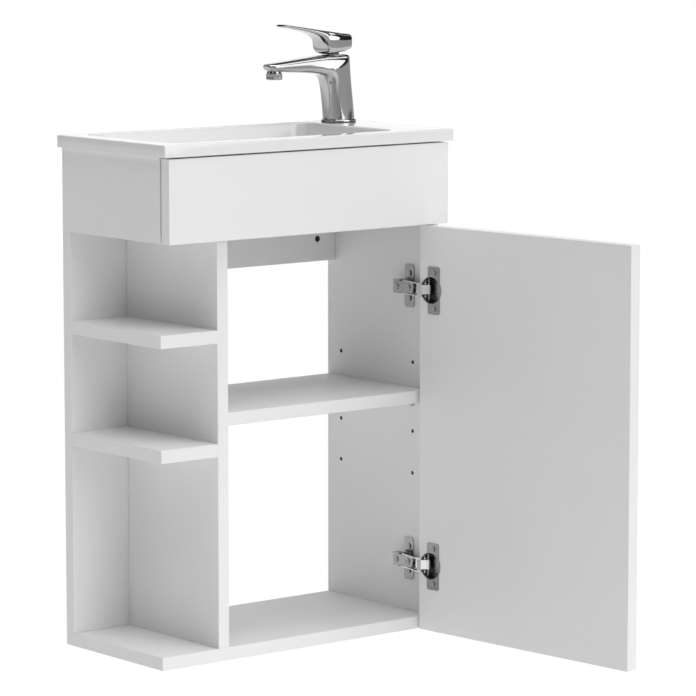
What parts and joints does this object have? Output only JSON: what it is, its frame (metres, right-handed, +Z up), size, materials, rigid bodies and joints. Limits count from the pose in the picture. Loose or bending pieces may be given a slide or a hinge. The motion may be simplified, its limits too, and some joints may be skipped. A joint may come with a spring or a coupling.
{
  "type": "wall-hung vanity cabinet",
  "caption": "Wall-hung white bathroom vanity with an inset basin, a single-lever mixer, an open shelf column and a hinged cupboard door.",
  "frame": {"origin": "on the wall plane, centred across the carcass, at mid-thickness of the bottom panel's back edge", "axes": "+X to the right seen from the front, +Y into the wall, +Z up"},
  "size_m": [0.4568, 0.5594, 0.7655],
  "materials": {
    "white_board": "chipboard with a white satin melamine face",
    "white_front": "chipboard with a smooth white front face",
    "white_ceramic": "glossy white glaze",
    "beech": "plain beech",
    "nickel": "bright nickel plate",
    "zinc": "zinc plate",
    "chrome": "polished chrome",
    "brass": "machined brass",
    "black_rubber": "matt",
    "grey_plastic": "moulded"
  },
  "bodies": {
    "cabinet": {"bottom_panel": "white_board", "right_side_panel": "white_board", "divider_panel": "white_board", "left_back_panel": "white_board", "upper_left_side_panel": "white_board", "top_left_panel": "white_board", "upper_open_shelf": "white_board", "lower_open_shelf": "white_board", "middle_shelf": "white_board", "shelf_pins": "nickel", "rear_rail": "white_board", "dowels": "beech", "fascia_panel": "white_front", "fascia_brackets": "zinc", "fascia_bracket_screws": "zinc", "hinge_mounting_plates": "nickel", "hinge_plate_screws": "zinc", "hinge_arms": "nickel", "hinge_arm_pins": "nickel", "hinge_arm_screws": "zinc", "washbasin": "white_ceramic", "drain_body": "chrome", "drain_flange_seal": "black_rubber", "drain_lower_gasket": "black_rubber", "drain_nut": "brass", "drain_click_guide": "brass", "tap_gasket": "black_rubber", "tap_body": "chrome", "aerator_housing": "chrome", "aerator_insert": "grey_plastic", "cartridge_body": "grey_plastic", "cartridge_nut": "chrome", "tap_stud": "zinc", "tap_clamp_plate": "zinc", "tap_stud_nut": "brass"},
    "short_links": {"hinge_short_links": "nickel"},
    "door": {"door_panel": "white_front", "hinge_cups": "nickel", "hinge_cup_screws": "zinc", "hinge_short_link_pins": "nickel", "hinge_long_link_pins": "nickel"},
    "long_links": {"hinge_long_links": "nickel"},
    "tap_rotor": {"cartridge_rotor": "grey_plastic", "cartridge_stem_pin": "nickel"},
    "tap_handle": {"tap_lever": "chrome", "cartridge_stem": "zinc", "lever_set_screw": "zinc"},
    "drain_plug": {"drain_plug": "chrome"}
  },
  "joints": [
    {"name": "short_link_swing", "type": "hinge", "parent": "cabinet", "child": "short_links", "pos_m": [0.19572, -0.2004, 0.252], "axis": [0, 0, 1], "range_deg": [0, 59]},
    {"name": "door_swing", "type": "hinge", "parent": "short_links", "child": "door", "pos_m": [0.1917, -0.21585, 0.252], "axis": [0, 0, 1], "range_deg": [-154, 0]},
    {"name": "long_link_swing", "type": "hinge", "parent": "door", "child": "long_links", "pos_m": [0.18771, -0.21379, 0.252], "axis": [0, 0, 1], "range_deg": [0, 127.25]},
    {"name": "tap_swivel", "type": "hinge", "parent": "cabinet", "child": "tap_rotor", "pos_m": [0.1809, -0.036, 0.7225], "axis": [0, 0, 1], "range_deg": [-45, 45]},
    {"name": "tap_lift", "type": "hinge", "parent": "tap_rotor", "child": "tap_handle", "pos_m": [0.1809, -0.036, 0.7225], "axis": [0, 1, 0], "range_deg": [0, 16]},
    {"name": "plug_click", "type": "slide", "parent": "cabinet", "child": "drain_plug", "axis": [0, 0, 1], "range_m": [0, 0.007]}
  ],
  "couplings": [
    {"joint": "short_link_swing", "follows": "door_swing", "ratio": -0.38311},
    {"joint": "long_link_swing", "follows": "door_swing", "ratio": -0.8263}
  ]
}
